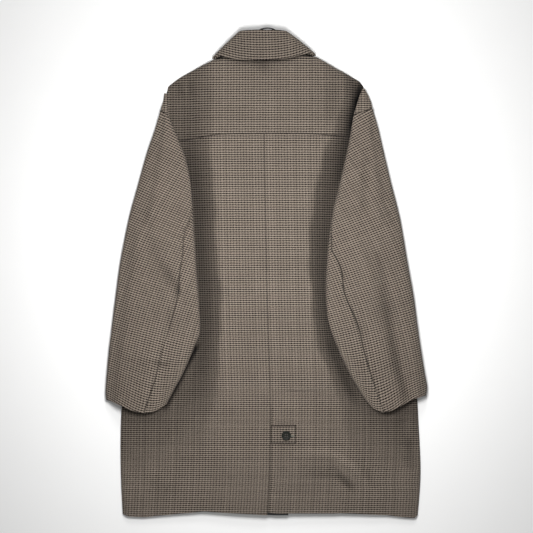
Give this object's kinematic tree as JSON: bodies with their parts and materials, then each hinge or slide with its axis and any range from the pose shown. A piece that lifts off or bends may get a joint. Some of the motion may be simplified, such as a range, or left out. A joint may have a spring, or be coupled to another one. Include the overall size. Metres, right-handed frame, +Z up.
{
  "type": "coat",
  "caption": "Long overcoat laid flat on its front, with a turned-down collar, back yoke, two-piece sleeves and a back vent closed by a buttoned tab.",
  "frame": {"origin": "under the middle of the coat, on the surface that it lies on", "axes": "+Z up from that surface to the coat's back, +Y towards the collar, +X towards the wearer's right sleeve"},
  "size_m": [0.677, 1.0311, 0.0346],
  "materials": {
    "coating": "small black and taupe check, woven wool, matt",
    "lining": "dark satin lining",
    "strap": "dark woven strap",
    "horn": "dark horn-like button, satin"
  },
  "bodies": {
    "root": {"front_left": "coating", "front_right": "coating", "back_left": "coating", "back_right": "coating", "back_yoke": "coating", "sleeve_left_upper": "coating", "sleeve_left_under": "coating", "sleeve_right_upper": "coating", "sleeve_right_under": "coating", "collar_fall": "coating", "collar_stand": "coating", "vent_tab": "coating", "vent_button": "horn", "vent_lining": "lining", "hanger_loop": "strap"}
  },
  "joints": []
}
